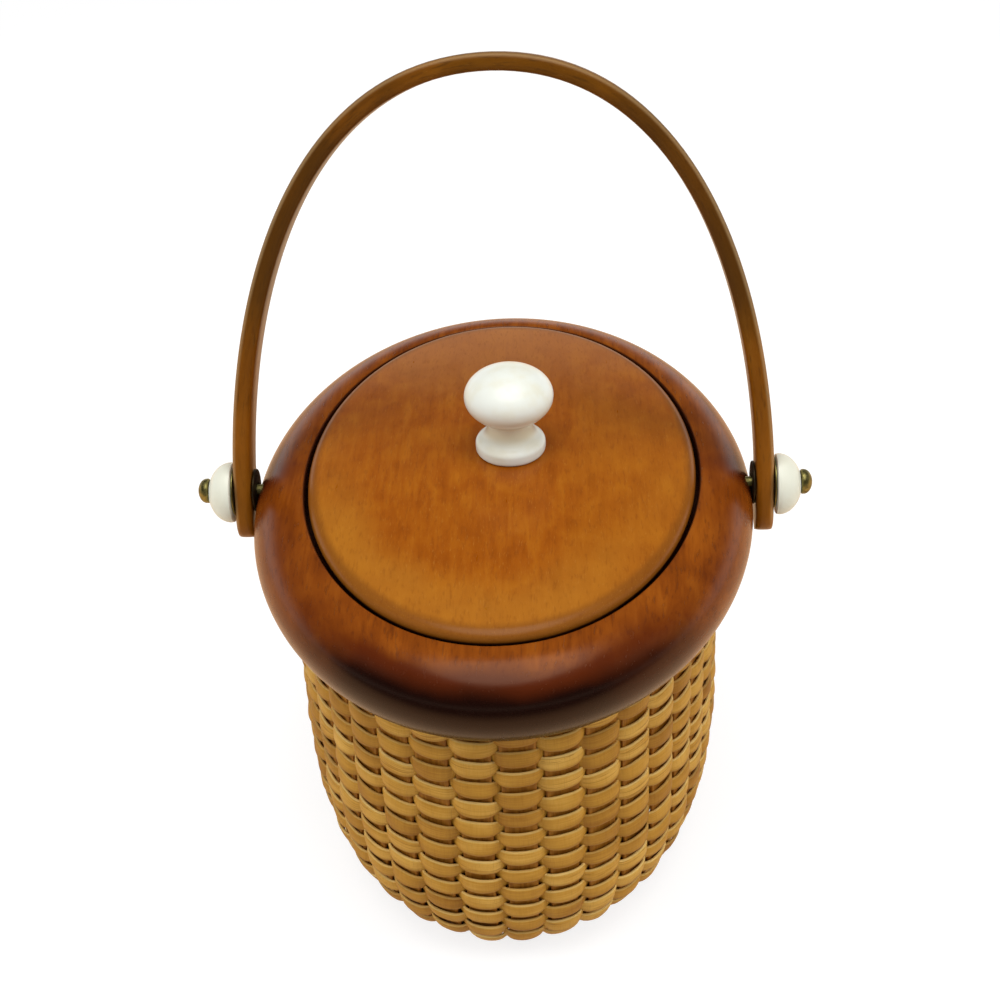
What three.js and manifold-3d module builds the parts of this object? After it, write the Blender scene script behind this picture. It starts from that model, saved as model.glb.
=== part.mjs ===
// Oval lightship basket: staves set in the edge of a wooden base and woven into a wall, a wooden
// collar over the top of the wall, a domed lid that lifts off by its knob, and a bent strip handle
// that swings on two pins. The foot of the base is at z = 0, the pins lie along x and the oval is
// longer along y. Radii are measured at the sides, along x.
import * as THREE from 'three';
import { mergeVertices } from 'three/addons/utils/BufferGeometryUtils.js';
import Module from 'manifold-3d';

const wasm = await Module();
wasm.setup();

// Driving sizes, millimetres
const clearance = 0.3; // between neighbouring pieces
const bodyHeight = 153.5; // foot to the crown of the collar

const endLength = 30.5; // how much further the collar reaches at its ends than at its sides

const collarRadius = 92; // at its widest ring
const collarSwell = 18.7; // widest ring in to the crown
const collarRise = 15.5; // widest ring up to the crown
const collarTuck = 18.3; // widest ring down to where its round would close
const rimWidth = 19.8; // widest ring in to the mouth
const rimRound = 1; // bevel at the mouth
const ledgeDepth = 10.5; // crown down to the ledge that carries the lid
const ledgeWidth = 9.3; // mouth in to the bore
const ledgeThickness = 12.5; // ledge down to the seat of the wall
const lipInset = 10.3; // widest ring in to the seat of the wall
const lipThickness = 2;

const wallThickness = 4.8; // stave and the cane on both sides of it
const wallPull = 44; // how far down the wall keeps the line it has at the collar
const wallTaper = 5.5; // degrees inward, going down from the collar
const wallTurn = 33; // reach of the turn at the foot beyond the base

const rowPitch = 4.63; // one turn of the cane to the next
const firstRow = 2.07; // top of the wall down to the first turn over the first stave
const rowDip = 1.15; // how far the cane lies back where it isn't over a stave

const staveCount = 39;
const staveThickness = 1.4;
const staveTopWidth = 10.4;
const staveFootWidth = 6.6;
const stavePhase = 0.44; // of a step, the first stave from the middle of the front end
const slotGap = 0.25; // round a stave inside the weave

const baseRadius = 57;
const baseThickness = 11;
const baseBevel = 1.5;
const grooveHeight = 5.5; // middle of the groove that takes the stave ends
const grooveDepth = 9;
const grooveGap = 0.4; // above and below a stave end

const lidGap = 1.4; // all round in the mouth
const lidEdgeHeight = 9.4; // underside of the edge up to where it rounds over
const lidEdgeRound = 3.4;
const lidRise = 17.4; // underside of the edge up to the crown of the dome
const plugGap = 0.5; // all round in the bore
const plugDepth = 6;
const plugBevel = 1;

const knobOffset = 3.6; // to the right of the middle
const knobFlangeRadius = 12.8;
const knobFlangeHeight = 4.9;
const knobNeckRadius = 8.4;
const knobNeckHeight = 9.8;
const knobHeadRadius = 16.1;
const knobHeadHeight = 22.5; // seat up to the widest ring of the head
const knobHeight = 32.9;
const knobSeatMargin = 0.4; // flat on the dome outside the flange

const screwRadius = 2.2;
const screwHeadRadius = 5;
const screwHeadHeight = 3;
const screwSink = 4; // depth of the counterbore under the lid
const screwSinkGap = 0.8; // round the screw's head
const screwGrip = 15; // length inside the knob

const pivotDrop = 9.8; // crown down to the pins
const pinRadius = 2.2;
const pinDepth = 12; // length inside the collar
const pinSeat = 0.6; // widest ring in to the flat that carries the spacer
const pinHeadRadius = 4.6;
const pinHeadHeight = 4.2;
const spacerRadius = 8;
const washerRadius = 9.4;
const washerThickness = 0.5;
const bossRadius = 11.3;
const bossRim = 1.2; // straight part of the edge
const bossHeight = 9;
const bossHole = 3.4; // loose on the pin
const bossDrop = 0.9; // the boss hangs on the pin

const handleGap = 1; // widest ring of the collar to the leg
const handleWidth = 16; // front to back
const handleThickness = 6.4; // at the legs
const gripThickness = 5.7; // at the top
const handleRise = 156.2; // pins to the outside of the grip
const legPull = 84.2; // length over which the leg stays straight
const legLean = 3; // how far the leg leans in over that length
const gripPull = 66.8; // length over which the grip stays flat
const earLength = 18; // leg below the pins
const handleEdge = 1.3; // rounding along the strip
const handleLean = 20; // degrees back from upright

// How finely the round pieces are cut
const wideSegments = 52;
const smallSegments = 26;
const pinSegments = 16;
const curveSteps = 8;

const turn = Math.PI * 2;
const rad = Math.PI / 180;

// Heights and radii that follow from the driving sizes
const widestHeight = bodyHeight - collarRise;
const mouthRadius = collarRadius - rimWidth;
const boreRadius = mouthRadius - ledgeWidth;
const ledgeHeight = bodyHeight - ledgeDepth;
const seatHeight = ledgeHeight - ledgeThickness;
const seatRadius = collarRadius - lipInset;
const lipRadius = seatRadius + lipThickness;
const lipAngle = Math.acos((lipRadius - collarRadius + collarSwell) / collarSwell);
const lipHeight = widestHeight - collarTuck * Math.sin(lipAngle);
const pivotHeight = bodyHeight - pivotDrop;

// Keeps only positions, joins shared corners, drops empty triangles and turns the faces outward.
function closed(source) {
  const bare = source.clone();
  bare.deleteAttribute('normal');
  bare.deleteAttribute('uv');
  const joined = mergeVertices(bare, 1e-4);
  const place = joined.attributes.position;
  const corners = [];
  let volume = 0;
  const [a, b, c] = [new THREE.Vector3(), new THREE.Vector3(), new THREE.Vector3()];
  for (let i = 0; i < joined.index.count; i += 3) {
    const [u, v, w] = [0, 1, 2].map((k) => joined.index.getX(i + k));
    if (u === v || v === w || w === u) continue;
    corners.push(u, v, w);
    a.fromBufferAttribute(place, u);
    b.fromBufferAttribute(place, v);
    c.fromBufferAttribute(place, w);
    volume += a.dot(b.cross(c));
  }
  if (volume < 0) corners.reverse();
  const result = new THREE.BufferGeometry();
  result.setAttribute('position', place);
  result.setIndex(corners);
  return result;
}

function toSolid(geometry) {
  const vertProperties = new Float32Array(geometry.attributes.position.array);
  const triVerts = new Uint32Array(geometry.index.array);
  return new wasm.Manifold(new wasm.Mesh({ numProp: 3, vertProperties, triVerts }));
}

function fromSolid(solid) {
  const mesh = solid.getMesh();
  const geometry = new THREE.BufferGeometry();
  geometry.setAttribute('position', new THREE.BufferAttribute(new Float32Array(mesh.vertProperties), 3));
  geometry.setIndex(new THREE.BufferAttribute(new Uint32Array(mesh.triVerts), 1));
  return geometry;
}

function cut(geometry, tools) {
  let solid = toSolid(geometry);
  for (const tool of tools) solid = solid.subtract(toSolid(tool));
  return fromSolid(solid);
}

// Turned piece: profile of [radius, height] about the z axis.
function turned(profile, segments) {
  const points = profile.map(([radius, height]) => new THREE.Vector2(radius, height));
  const geometry = new THREE.LatheGeometry(points, segments);
  geometry.rotateX(Math.PI / 2);
  return closed(geometry);
}

// Extra length of the oval towards its ends, for a radius measured at its sides.
const reach = (radius) => endLength * Math.min(1, radius / mouthRadius);

const onOval = (radius, angle, height) => new THREE.Vector3(
  radius * Math.cos(angle),
  (radius + reach(radius)) * Math.sin(angle),
  height,
);

// Oval piece: turned, then drawn out towards the ends.
function oval(profile, segments) {
  const geometry = turned(profile, segments);
  const place = geometry.attributes.position;
  for (let i = 0; i < place.count; i += 1) {
    const radius = Math.hypot(place.getX(i), place.getY(i));
    if (radius > 0) place.setY(i, place.getY(i) * (1 + reach(radius) / radius));
  }
  return geometry;
}

// Skin over rings of equal length; with a loop the last ring joins the first, else the ends are closed.
function skin(rings, loop) {
  const count = rings[0].length;
  const corners = [];
  for (let i = 0; i < (loop ? rings.length : rings.length - 1); i += 1) {
    const [a, b] = [i * count, ((i + 1) % rings.length) * count];
    for (let k = 0; k < count; k += 1) {
      const m = (k + 1) % count;
      corners.push(a + k, b + k, b + m, a + k, b + m, a + m);
    }
  }
  const last = (rings.length - 1) * count;
  for (let k = 1; !loop && k < count - 1; k += 1) {
    corners.push(0, k, k + 1, last, last + k + 1, last + k);
  }
  const geometry = new THREE.BufferGeometry();
  const places = rings.flat().flatMap((spot) => spot.toArray());
  geometry.setAttribute('position', new THREE.Float32BufferAttribute(places, 3));
  geometry.setIndex(corners);
  return closed(geometry);
}

// Straight rod along x from one place to another, used as a drill.
function drill(radius, from, to, height) {
  const geometry = new THREE.CylinderGeometry(radius, radius, Math.abs(to - from), pinSegments);
  geometry.rotateZ(Math.PI / 2);
  geometry.translate((from + to) / 2, 0, height);
  return closed(geometry);
}

// The same upright, under the knob.
function upright(radius, from, to) {
  const geometry = new THREE.CylinderGeometry(radius, radius, to - from, pinSegments);
  geometry.rotateX(Math.PI / 2);
  geometry.translate(knobOffset, 0, (from + to) / 2);
  return closed(geometry);
}

// Quarter or part of an ellipse as profile points, angles in radians from the outward direction.
function arc(radius, height, across, up, from, to, steps) {
  const points = [];
  for (let i = 0; i <= steps; i += 1) {
    const angle = from + ((to - from) * i) / steps;
    points.push([radius + across * Math.cos(angle), height + up * Math.sin(angle)]);
  }
  return points;
}

// Steps of equal length round the oval, counted from the middle of the front end.
const roundTable = [0];
const tableSize = 720;
const tableRadius = seatRadius - wallThickness;
for (let i = 1; i <= tableSize; i += 1) {
  const [from, to] = [i - 1, i].map((k) => onOval(tableRadius, turn * (k / tableSize - 0.25), 0));
  roundTable.push(roundTable[i - 1] + from.distanceTo(to));
}
function stepAngle(step) {
  const share = (step / staveCount) - Math.floor(step / staveCount);
  const length = share * roundTable[tableSize];
  const i = Math.min(roundTable.findIndex((run) => run > length), tableSize);
  const part = (length - roundTable[i - 1]) / (roundTable[i] - roundTable[i - 1]);
  return turn * ((i - 1 + part) / tableSize - 0.25);
}

// The wall has one flat for each stave: this is how far the middle of a flat lies inside the oval.
const corner = Array.from({ length: staveCount }, (_, i) => stepAngle(i + stavePhase - 0.5));
function flatDepth(radius) {
  return Math.max(...corner.map((from, i) => {
    const to = corner[(i + 1) % staveCount];
    const middle = onOval(radius, from, 0).add(onOval(radius, to, 0)).multiplyScalar(0.5);
    return onOval(radius, stepAngle(i + stavePhase), 0).distanceTo(middle);
  }));
}

// Middle line of the wall from the edge of the base up to its seat in the collar.
const wallTop = new THREE.Vector2(
  seatRadius * Math.cos(Math.PI / wideSegments) - clearance - wallThickness / 2,
  seatHeight - clearance - (wallThickness / 2) * Math.sin(wallTaper * rad),
);
const wallFoot = new THREE.Vector2(baseRadius + clearance + flatDepth(baseRadius), grooveHeight);
const wallLine = new THREE.CubicBezierCurve(
  wallFoot,
  new THREE.Vector2(wallFoot.x + wallTurn, wallFoot.y),
  new THREE.Vector2(
    wallTop.x - wallPull * Math.sin(wallTaper * rad),
    wallTop.y - wallPull * Math.cos(wallTaper * rad),
  ),
  wallTop,
);

// Stations along the wall: place, outward direction and share of the height.
const stations = [];
for (let i = 0; i <= curveSteps; i += 1) {
  const place = wallLine.getPoint(i / curveSteps);
  const along = wallLine.getTangent(i / curveSteps);
  const share = (place.y - wallFoot.y) / (wallTop.y - wallFoot.y);
  stations.push({ place, along, out: new THREE.Vector2(along.y, -along.x), share });
}

function offset(list, distance) {
  return list.map(({ place, out }) => [place.x + out.x * distance, place.y + out.y * distance]);
}

// A stave, or with growth the slot for it: a strip that follows the wall and runs on into the base.
function stave(number, growth, overrun) {
  const first = stations[0];
  const last = stations[stations.length - 1];
  const grooveRadius = baseRadius - grooveDepth;
  const tongue = {
    place: new THREE.Vector2(grooveRadius + clearance + flatDepth(grooveRadius), grooveHeight),
    out: first.out,
    share: 0,
  };
  const beyond = {
    place: last.place.clone().addScaledVector(last.along, overrun),
    out: last.out,
    share: 1,
  };
  const half = staveThickness / 2 + growth;
  const rings = [tongue, ...stations.slice(0, -1), beyond].map(({ place, out, share }) => {
    const from = onOval(place.x, corner[number], place.y);
    const to = onOval(place.x, corner[(number + 1) % staveCount], place.y);
    const side = to.clone().sub(from).normalize();
    const outward = new THREE.Vector3(side.y * out.x, -side.x * out.x, out.y);
    const width = staveFootWidth + (staveTopWidth - staveFootWidth) * share + 2 * growth;
    const middle = from.add(to).multiplyScalar(0.5);
    return [[-1, -1], [1, -1], [1, 1], [-1, 1]].map(([across, up]) => middle.clone()
      .addScaledVector(side, (across * width) / 2)
      .addScaledVector(outward, up * half));
  });
  return skin(rings, false);
}

// Turns of the cane down the wall, with its top and foot.
const wallLength = wallLine.getLength();
const turnRuns = [0];
for (let run = firstRow; run < wallLength - rowPitch / 2; run += rowPitch) turnRuns.push(run);
turnRuns.push(wallLength);

// The wall stands out where the cane passes over a stave and lies back elsewhere. Staves are counted
// both ways from the first, so that the odd one is at the back.
function wovenWall() {
  const lines = turnRuns.map((run) => {
    const place = wallLine.getPointAt(1 - run / wallLength);
    const along = wallLine.getTangentAt(1 - run / wallLength);
    return { place, out: new THREE.Vector2(along.y, -along.x) };
  }).reverse();
  const back = offset(lines, wallThickness / 2 - rowDip);
  const over = offset(lines, wallThickness / 2);
  const inside = offset(stations, -wallThickness / 2).reverse();
  const ring = (outside, angle) => [...outside, ...inside]
    .map(([radius, height]) => onOval(radius, angle, height));
  const columns = corner.flatMap((angle, i) => {
    const count = Math.min(i, staveCount - i);
    const isOver = (k) => k > 0 && k < lines.length - 1 && (lines.length - k + count) % 2 === 0;
    const outside = back.map((spot, k) => (isOver(k) ? over[k] : spot));
    return [ring(back, angle), ring(outside, stepAngle(i + stavePhase))];
  });
  return cut(skin(columns, true), corner.map((_, i) => stave(i, slotGap, 2)));
}

function base() {
  const halfGroove = staveThickness / 2 + grooveGap;
  const grooveRadius = baseRadius - grooveDepth;
  return oval([
    [0, 0],
    [baseRadius - baseBevel, 0],
    [baseRadius, baseBevel],
    [baseRadius, grooveHeight - halfGroove],
    [grooveRadius, grooveHeight - halfGroove],
    [grooveRadius, grooveHeight + halfGroove],
    [baseRadius, grooveHeight + halfGroove],
    [baseRadius, baseThickness - baseBevel],
    [baseRadius - baseBevel, baseThickness],
    [0, baseThickness],
  ], wideSegments);
}

function collar() {
  const crownRadius = collarRadius - collarSwell;
  const mouthAngle = Math.acos((mouthRadius + rimRound - crownRadius) / collarSwell);
  const shoulder = arc(crownRadius, widestHeight, collarSwell, collarRise, 0, mouthAngle, 7);
  const mouth = shoulder[shoulder.length - 1][1] - rimRound;
  const tuck = arc(crownRadius, widestHeight, collarSwell, collarTuck, -lipAngle, 0, 4).slice(0, -1);
  const profile = [
    [boreRadius, seatHeight],
    [seatRadius, seatHeight],
    [seatRadius, lipHeight],
    ...tuck,
    ...shoulder,
    [mouthRadius, mouth],
    [mouthRadius, ledgeHeight],
    [boreRadius, ledgeHeight],
    [boreRadius, seatHeight],
  ];
  const drills = [];
  for (const side of [1, -1]) {
    const flat = side * (collarRadius - pinSeat);
    const bottom = flat - side * (pinDepth + clearance);
    drills.push(drill(spacerRadius + clearance, flat, side * (collarRadius + 10), pivotHeight));
    drills.push(drill(pinRadius + clearance, bottom, flat + side, pivotHeight));
  }
  return cut(oval(profile, wideSegments), drills);
}

// The dome and the rounded edge of the lid touch without a break: both are circles on one line.
const lidBottom = ledgeHeight + clearance;
const lidRadius = mouthRadius - lidGap;
const lidEdge = new THREE.Vector2(lidRadius - lidEdgeRound, lidBottom + lidEdgeHeight);
const lidCrown = lidBottom + lidRise;
const domeOver = lidCrown - lidEdge.y - lidEdgeRound;
const domeRadius = domeOver + lidEdgeRound + (lidEdge.x ** 2 - domeOver ** 2) / (2 * domeOver);
const domeCentre = lidCrown - domeRadius;
const knobSeatRadius = knobFlangeRadius + Math.abs(knobOffset) + knobSeatMargin;
const knobSeat = domeCentre + Math.sqrt(domeRadius ** 2 - knobSeatRadius ** 2);

const plugBottom = lidBottom - plugDepth;
const screwSeat = plugBottom + screwSink;

function lid() {
  const breakAngle = Math.atan2(lidEdge.y - domeCentre, lidEdge.x);
  const seatAngle = Math.acos(knobSeatRadius / domeRadius);
  const plugRadius = boreRadius - plugGap;
  const profile = [
    [0, plugBottom],
    [plugRadius - plugBevel, plugBottom],
    [plugRadius, plugBottom + plugBevel],
    [plugRadius, lidBottom],
    [lidRadius, lidBottom],
    ...arc(lidEdge.x, lidEdge.y, lidEdgeRound, lidEdgeRound, 0, breakAngle, 3),
    ...arc(0, domeCentre, domeRadius, domeRadius, breakAngle, seatAngle, 5).slice(1),
    [0, knobSeat],
  ];
  return cut(oval(profile, wideSegments), [
    upright(screwRadius + clearance, plugBottom - 1, knobSeat + 1),
    upright(screwHeadRadius + screwSinkGap, plugBottom - 1, screwSeat),
  ]);
}

function knob() {
  const bottom = knobSeat + clearance;
  const hole = screwRadius + clearance;
  const curve = new THREE.SplineCurve([
    [knobFlangeRadius - 1.6, knobFlangeHeight],
    [knobNeckRadius + 0.8, knobFlangeHeight + 2.2],
    [knobNeckRadius, knobNeckHeight],
    [knobNeckRadius + 2.4, (knobNeckHeight + knobHeadHeight) / 2 - 1],
    [knobHeadRadius - 1.3, knobHeadHeight - 4],
    [knobHeadRadius, knobHeadHeight],
    [knobHeadRadius - 2.3, (knobHeadHeight + knobHeight) / 2 + 0.3],
    [knobHeadRadius * 0.48, knobHeight - 1.2],
    [0, knobHeight],
  ].map(([radius, height]) => new THREE.Vector2(radius, height)));
  const side = curve.getPoints(14).map(({ x, y }) => [Math.max(x, 0), y]);
  const profile = [
    [0, screwGrip + 2],
    [hole, screwGrip + 2],
    [hole, 0],
    [knobFlangeRadius - 0.6, 0],
    [knobFlangeRadius, 0.8],
    [knobFlangeRadius, knobFlangeHeight - 1.2],
    ...side,
  ];
  return turned(profile.map(([radius, height]) => [radius, height + bottom]), smallSegments);
}

function knobScrew() {
  const headTop = screwSeat - clearance;
  const tip = knobSeat + clearance + screwGrip;
  return turned([
    [0, headTop - screwHeadHeight],
    [screwHeadRadius * 0.7, headTop - screwHeadHeight],
    [screwHeadRadius, headTop - screwHeadHeight * 0.4],
    [screwHeadRadius, headTop],
    [screwRadius, headTop],
    [screwRadius, tip],
    [0, tip],
  ], pinSegments);
}

const legInside = collarRadius + handleGap;
const legOutside = legInside + handleThickness;

// The strip seen from the front, upright: an arch whose legs are straight past the spacers and run on
// below the pins.
function handle() {
  const straight = spacerRadius + clearance;
  const gripInside = handleRise - gripThickness;
  const inPull = (legPull * gripInside) / handleRise;
  const inReach = (gripPull * legInside) / legOutside;
  const shape = new THREE.Shape();
  shape.moveTo(legOutside, -earLength);
  shape.lineTo(legOutside, straight);
  shape.bezierCurveTo(legOutside - legLean, legPull, gripPull, handleRise, 0, handleRise);
  shape.bezierCurveTo(-gripPull, handleRise, legLean - legOutside, legPull, -legOutside, straight);
  shape.lineTo(-legOutside, -earLength);
  shape.lineTo(-legInside, -earLength);
  shape.lineTo(-legInside, straight);
  shape.bezierCurveTo(legLean - legInside, inPull, -inReach, gripInside, 0, gripInside);
  shape.bezierCurveTo(inReach, gripInside, legInside - legLean, inPull, legInside, straight);
  shape.lineTo(legInside, -earLength);
  shape.closePath();
  const strip = new THREE.ExtrudeGeometry(shape, {
    depth: handleWidth - 2 * handleEdge,
    curveSegments: 14,
    bevelEnabled: true,
    bevelThickness: handleEdge,
    bevelSize: handleEdge,
    bevelOffset: -handleEdge,
    bevelSegments: 2,
  });
  strip.translate(0, 0, handleEdge - handleWidth / 2);
  strip.rotateX(Math.PI / 2);
  const half = handleWidth / 2;
  const ear = new THREE.Shape();
  ear.moveTo(half, handleRise + half);
  ear.lineTo(-half, handleRise + half);
  ear.lineTo(-half, half - earLength);
  ear.absarc(0, half - earLength, half, Math.PI, turn, false);
  ear.closePath();
  const span = legOutside + half;
  const outline = new THREE.ExtrudeGeometry(ear, { depth: 2 * span, bevelEnabled: false, curveSegments: 7 });
  outline.translate(0, 0, -span);
  outline.rotateX(Math.PI / 2);
  outline.rotateZ(Math.PI / 2);
  const rounded = toSolid(closed(strip)).intersect(toSolid(closed(outline)));
  return cut(fromSolid(rounded), [drill(pinRadius + clearance, -span, span, 0)]);
}

// Pieces on a pin, each turned about the pin with heights measured out from the basket's middle.
const spacerInside = collarRadius - pinSeat + clearance;
const washerInside = legOutside + clearance;
const bossInside = washerInside + washerThickness + clearance;
const headInside = bossInside + bossHeight + clearance;

function ring(outer, from, to) {
  const hole = pinRadius + clearance;
  return turned([[hole, from], [outer, from], [outer, to], [hole, to], [hole, from]], pinSegments);
}

function boss() {
  const dome = bossHeight - bossRim;
  const topAngle = Math.acos(pinHeadRadius / bossRadius);
  const side = arc(0, bossInside + bossRim, bossRadius, dome / Math.sin(topAngle), 0, topAngle, 6);
  return turned([
    [bossHole, bossInside],
    [bossRadius, bossInside],
    ...side,
    [bossHole, bossInside + bossHeight],
    [bossHole, bossInside],
  ], smallSegments);
}

function pin() {
  const rim = pinHeadHeight * 0.25;
  return turned([
    [0, collarRadius - pinSeat - pinDepth],
    [pinRadius, collarRadius - pinSeat - pinDepth],
    [pinRadius, headInside],
    [pinHeadRadius, headInside],
    ...arc(0, headInside + rim, pinHeadRadius, pinHeadHeight - rim, 0, Math.PI / 2, 4)
      .map(([radius, height]) => [Math.max(radius, 0), height]),
  ], pinSegments);
}

const walnut = { color: 0x7a4020, roughness: 0.3, metalness: 0 };
const cherry = { color: 0xa5622a, roughness: 0.3, metalness: 0 };
const oak = { color: 0x8a5a2a, roughness: 0.4, metalness: 0 };
const splint = { color: 0xb08a5e, roughness: 0.6, metalness: 0 };
const cane = { color: 0xc2a070, roughness: 0.55, metalness: 0 };
const ivory = { color: 0xe6e6dc, roughness: 0.18, metalness: 0 };
const brass = { color: 0x9a8a52, roughness: 0.35, metalness: 1 };

function piece(name, geometry, finish) {
  const shown = geometry.toNonIndexed();
  shown.computeVertexNormals();
  const mesh = new THREE.Mesh(shown, new THREE.MeshStandardMaterial(finish));
  mesh.name = name;
  return mesh;
}

const basket = new THREE.Group();
basket.add(piece('base', base(), walnut));
for (let i = 0; i < staveCount; i += 1) {
  basket.add(piece(`stave_${String(i + 1).padStart(2, '0')}`, stave(i, 0, 0), splint));
}
basket.add(piece('woven_wall', wovenWall(), cane));
basket.add(piece('collar', collar(), walnut));

const lift = new THREE.Group();
lift.add(piece('lid', lid(), cherry));
const grip = new THREE.Group();
grip.position.x = knobOffset;
grip.add(piece('knob', knob(), ivory), piece('knob_screw', knobScrew(), brass));
lift.add(grip);
basket.add(lift);

const pivot = new THREE.Group();
pivot.position.z = pivotHeight;
const bail = piece('handle', handle(), oak);
bail.rotation.x = -handleLean * rad;
pivot.add(bail);
for (const [side, way] of [['right', 1], ['left', -1]]) {
  const stack = new THREE.Group();
  stack.rotation.y = (way * Math.PI) / 2;
  stack.add(piece(`spacer_${side}`, ring(spacerRadius, spacerInside, legInside - clearance), brass));
  const washer = ring(washerRadius, washerInside, washerInside + washerThickness);
  stack.add(piece(`boss_washer_${side}`, washer, brass));
  const dome = piece(`boss_${side}`, boss(), ivory);
  dome.position.x = way * bossDrop;
  stack.add(dome);
  stack.add(piece(`pivot_pin_${side}`, pin(), brass));
  pivot.add(stack);
}
basket.add(pivot);

export default basket;
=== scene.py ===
import math
import random
import bpy
import bmesh
from mathutils import Matrix, Vector


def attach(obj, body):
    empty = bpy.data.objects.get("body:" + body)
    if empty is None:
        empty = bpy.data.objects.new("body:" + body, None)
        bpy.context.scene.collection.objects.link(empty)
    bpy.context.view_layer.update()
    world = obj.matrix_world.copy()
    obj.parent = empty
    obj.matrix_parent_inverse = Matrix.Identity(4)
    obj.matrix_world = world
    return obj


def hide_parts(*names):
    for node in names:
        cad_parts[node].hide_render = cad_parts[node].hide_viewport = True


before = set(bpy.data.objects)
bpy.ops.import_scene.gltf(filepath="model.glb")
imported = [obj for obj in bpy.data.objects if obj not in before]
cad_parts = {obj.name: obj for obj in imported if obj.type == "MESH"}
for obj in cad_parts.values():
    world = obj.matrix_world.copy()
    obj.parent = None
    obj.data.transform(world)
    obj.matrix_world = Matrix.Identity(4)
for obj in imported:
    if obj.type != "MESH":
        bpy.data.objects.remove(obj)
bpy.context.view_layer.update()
mm = 0.001
scene = bpy.context.scene
scene.view_settings.view_transform = "Standard"
print("frame loaded,", len(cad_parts), "CAD nodes")


# A shader socket that adds, multiplies and compares like a number.
class Wire:
    def __init__(self, tree, socket):
        self.tree, self.socket = tree, socket

    def sum(self, kind, other, flip=False):
        node = self.tree.nodes.new("ShaderNodeMath")
        node.operation = kind
        for slot, part in zip(node.inputs, (other, self) if flip else (self, other)):
            plug(self.tree, slot, part)
        return Wire(self.tree, node.outputs[0])

    def __add__(self, other):
        return self.sum("ADD", other)

    def __sub__(self, other):
        return self.sum("SUBTRACT", other)

    def __rsub__(self, other):
        return self.sum("SUBTRACT", other, True)

    def __mul__(self, other):
        return self.sum("MULTIPLY", other)

    def __truediv__(self, other):
        return self.sum("DIVIDE", other)

    def __rtruediv__(self, other):
        return self.sum("DIVIDE", other, True)

    def atLeast(self, other):
        return self.sum("MAXIMUM", other)

    __radd__ = __add__
    __rmul__ = __mul__


def plug(tree, slot, part):
    if isinstance(part, Wire):
        tree.links.new(part.socket, slot)
    elif slot.type == "RGBA" and len(part) == 3:
        slot.default_value = (*part, 1)
    else:
        slot.default_value = part


# Makes the nodes of one shader tree.
class Nodes:
    def __init__(self, tree):
        self.tree = tree

    def node(self, kind, settings=None, sockets=None, out=0):
        made = self.tree.nodes.new("ShaderNode" + kind)
        for key, value in (settings or {}).items():
            if key == "stops":
                ramp = made.color_ramp.elements
                while len(ramp) < len(value):
                    ramp.new(0.5)
                for stop, (at, tone) in zip(ramp, value):
                    stop.position, stop.color = at, (*tone, 1)
            else:
                setattr(made, key, value)
        for key, value in (sockets or {}).items():
            plug(self.tree, made.inputs[key], value)
        return Wire(self.tree, made.outputs[out])

    # A place on the object in metres, or what an attribute of its mesh says there.
    def place(self, attribute=None):
        if attribute:
            return self.node("Attribute", {"attribute_name": attribute}, out="Vector")
        return self.node("TexCoord", out="Object")

    def parts(self, place, axes):
        return [self.node("SeparateXYZ", {}, {"Vector": place}, out=axis) for axis in axes]

    def noise(self, place, stretch, detail, rough, warp=0.0):
        placed = self.node("Mapping", {}, {"Vector": place, "Scale": stretch})
        return self.node("TexNoise", {}, {"Vector": placed, "Scale": 1.0, "Detail": detail,
                                          "Roughness": rough, "Distortion": warp})

    # Goes smoothly from start to end as the value goes from low to high.
    def step(self, value, low, high, start=0.0, end=1.0):
        return self.node("MapRange", {"clamp": True, "interpolation_type": "SMOOTHSTEP"},
                         {"Value": value, "From Min": low, "From Max": high, "To Min": start, "To Max": end})

    # The colours of a Mix node are its sockets 6 and 7, and the mixed one is its output 2.
    def mix(self, factor, a, b):
        return self.node("Mix", {"data_type": "RGBA"}, {0: factor, 6: a, 7: b}, out=2)

    def blend(self, factor, a, b):
        return self.node("MixShader", {}, {0: factor, 1: a, 2: b})

    def bump(self, height, strength, distance):
        return self.node("Bump", {}, {"Height": height, "Strength": strength, "Distance": distance})

    # Rays that see a surface directly or through something clear, and rays that see it mirrored.
    def seenRays(self):
        straight, through, mirrored = (self.node("LightPath", out=f"Is {kind} Ray")
                                       for kind in ("Camera", "Transmission", "Glossy"))
        return straight.atLeast(through), mirrored


class Finish(Nodes):
    def __init__(self, name):
        self.material = bpy.data.materials.new(name)
        self.material.use_nodes = True
        super().__init__(self.material.node_tree)
        self.shader = self.tree.nodes["Principled BSDF"]

    def paint(self, sockets):
        for key, value in sockets.items():
            plug(self.tree, self.shader.inputs[key], value)
        return self.material


# Kinds of grain: a share of the look's own stretch, then detail, roughness and warp of the noise.
grainKinds = {"broad": ((0.10, 0.30, 0.10), 3, 0.5, 0.4), "rings": ((0.35, 0.16, 0.35), 4, 0.6, 0.6),
              "fleck": ((1.0, 1.0, 1.0), 2, 0.5, 0.0), "pore": ((2.6, 1.3, 2.6), 2, 0.6, 0.0)}
# Marks that keep their own stretch.
markKinds = {"patch": ((17, 11, 17), 2, 0.5, 0.5), "dust": ((2600, 2600, 2600), 1, 0.5, 0.0)}
markSteps = {"patch": (0.44, 0.62), "fleck": (0.52, 0.72), "pore": (0.60, 0.78), "dust": (0.70, 0.80)}
woodShares = {"broad": 0.55, "rings": 0.45, "ringRough": 0.12, "fleckRough": 0.10,
              "fleckBump": 0.5, "poreBump": 0.5, "bumpDepth": 0.0002}


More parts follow.
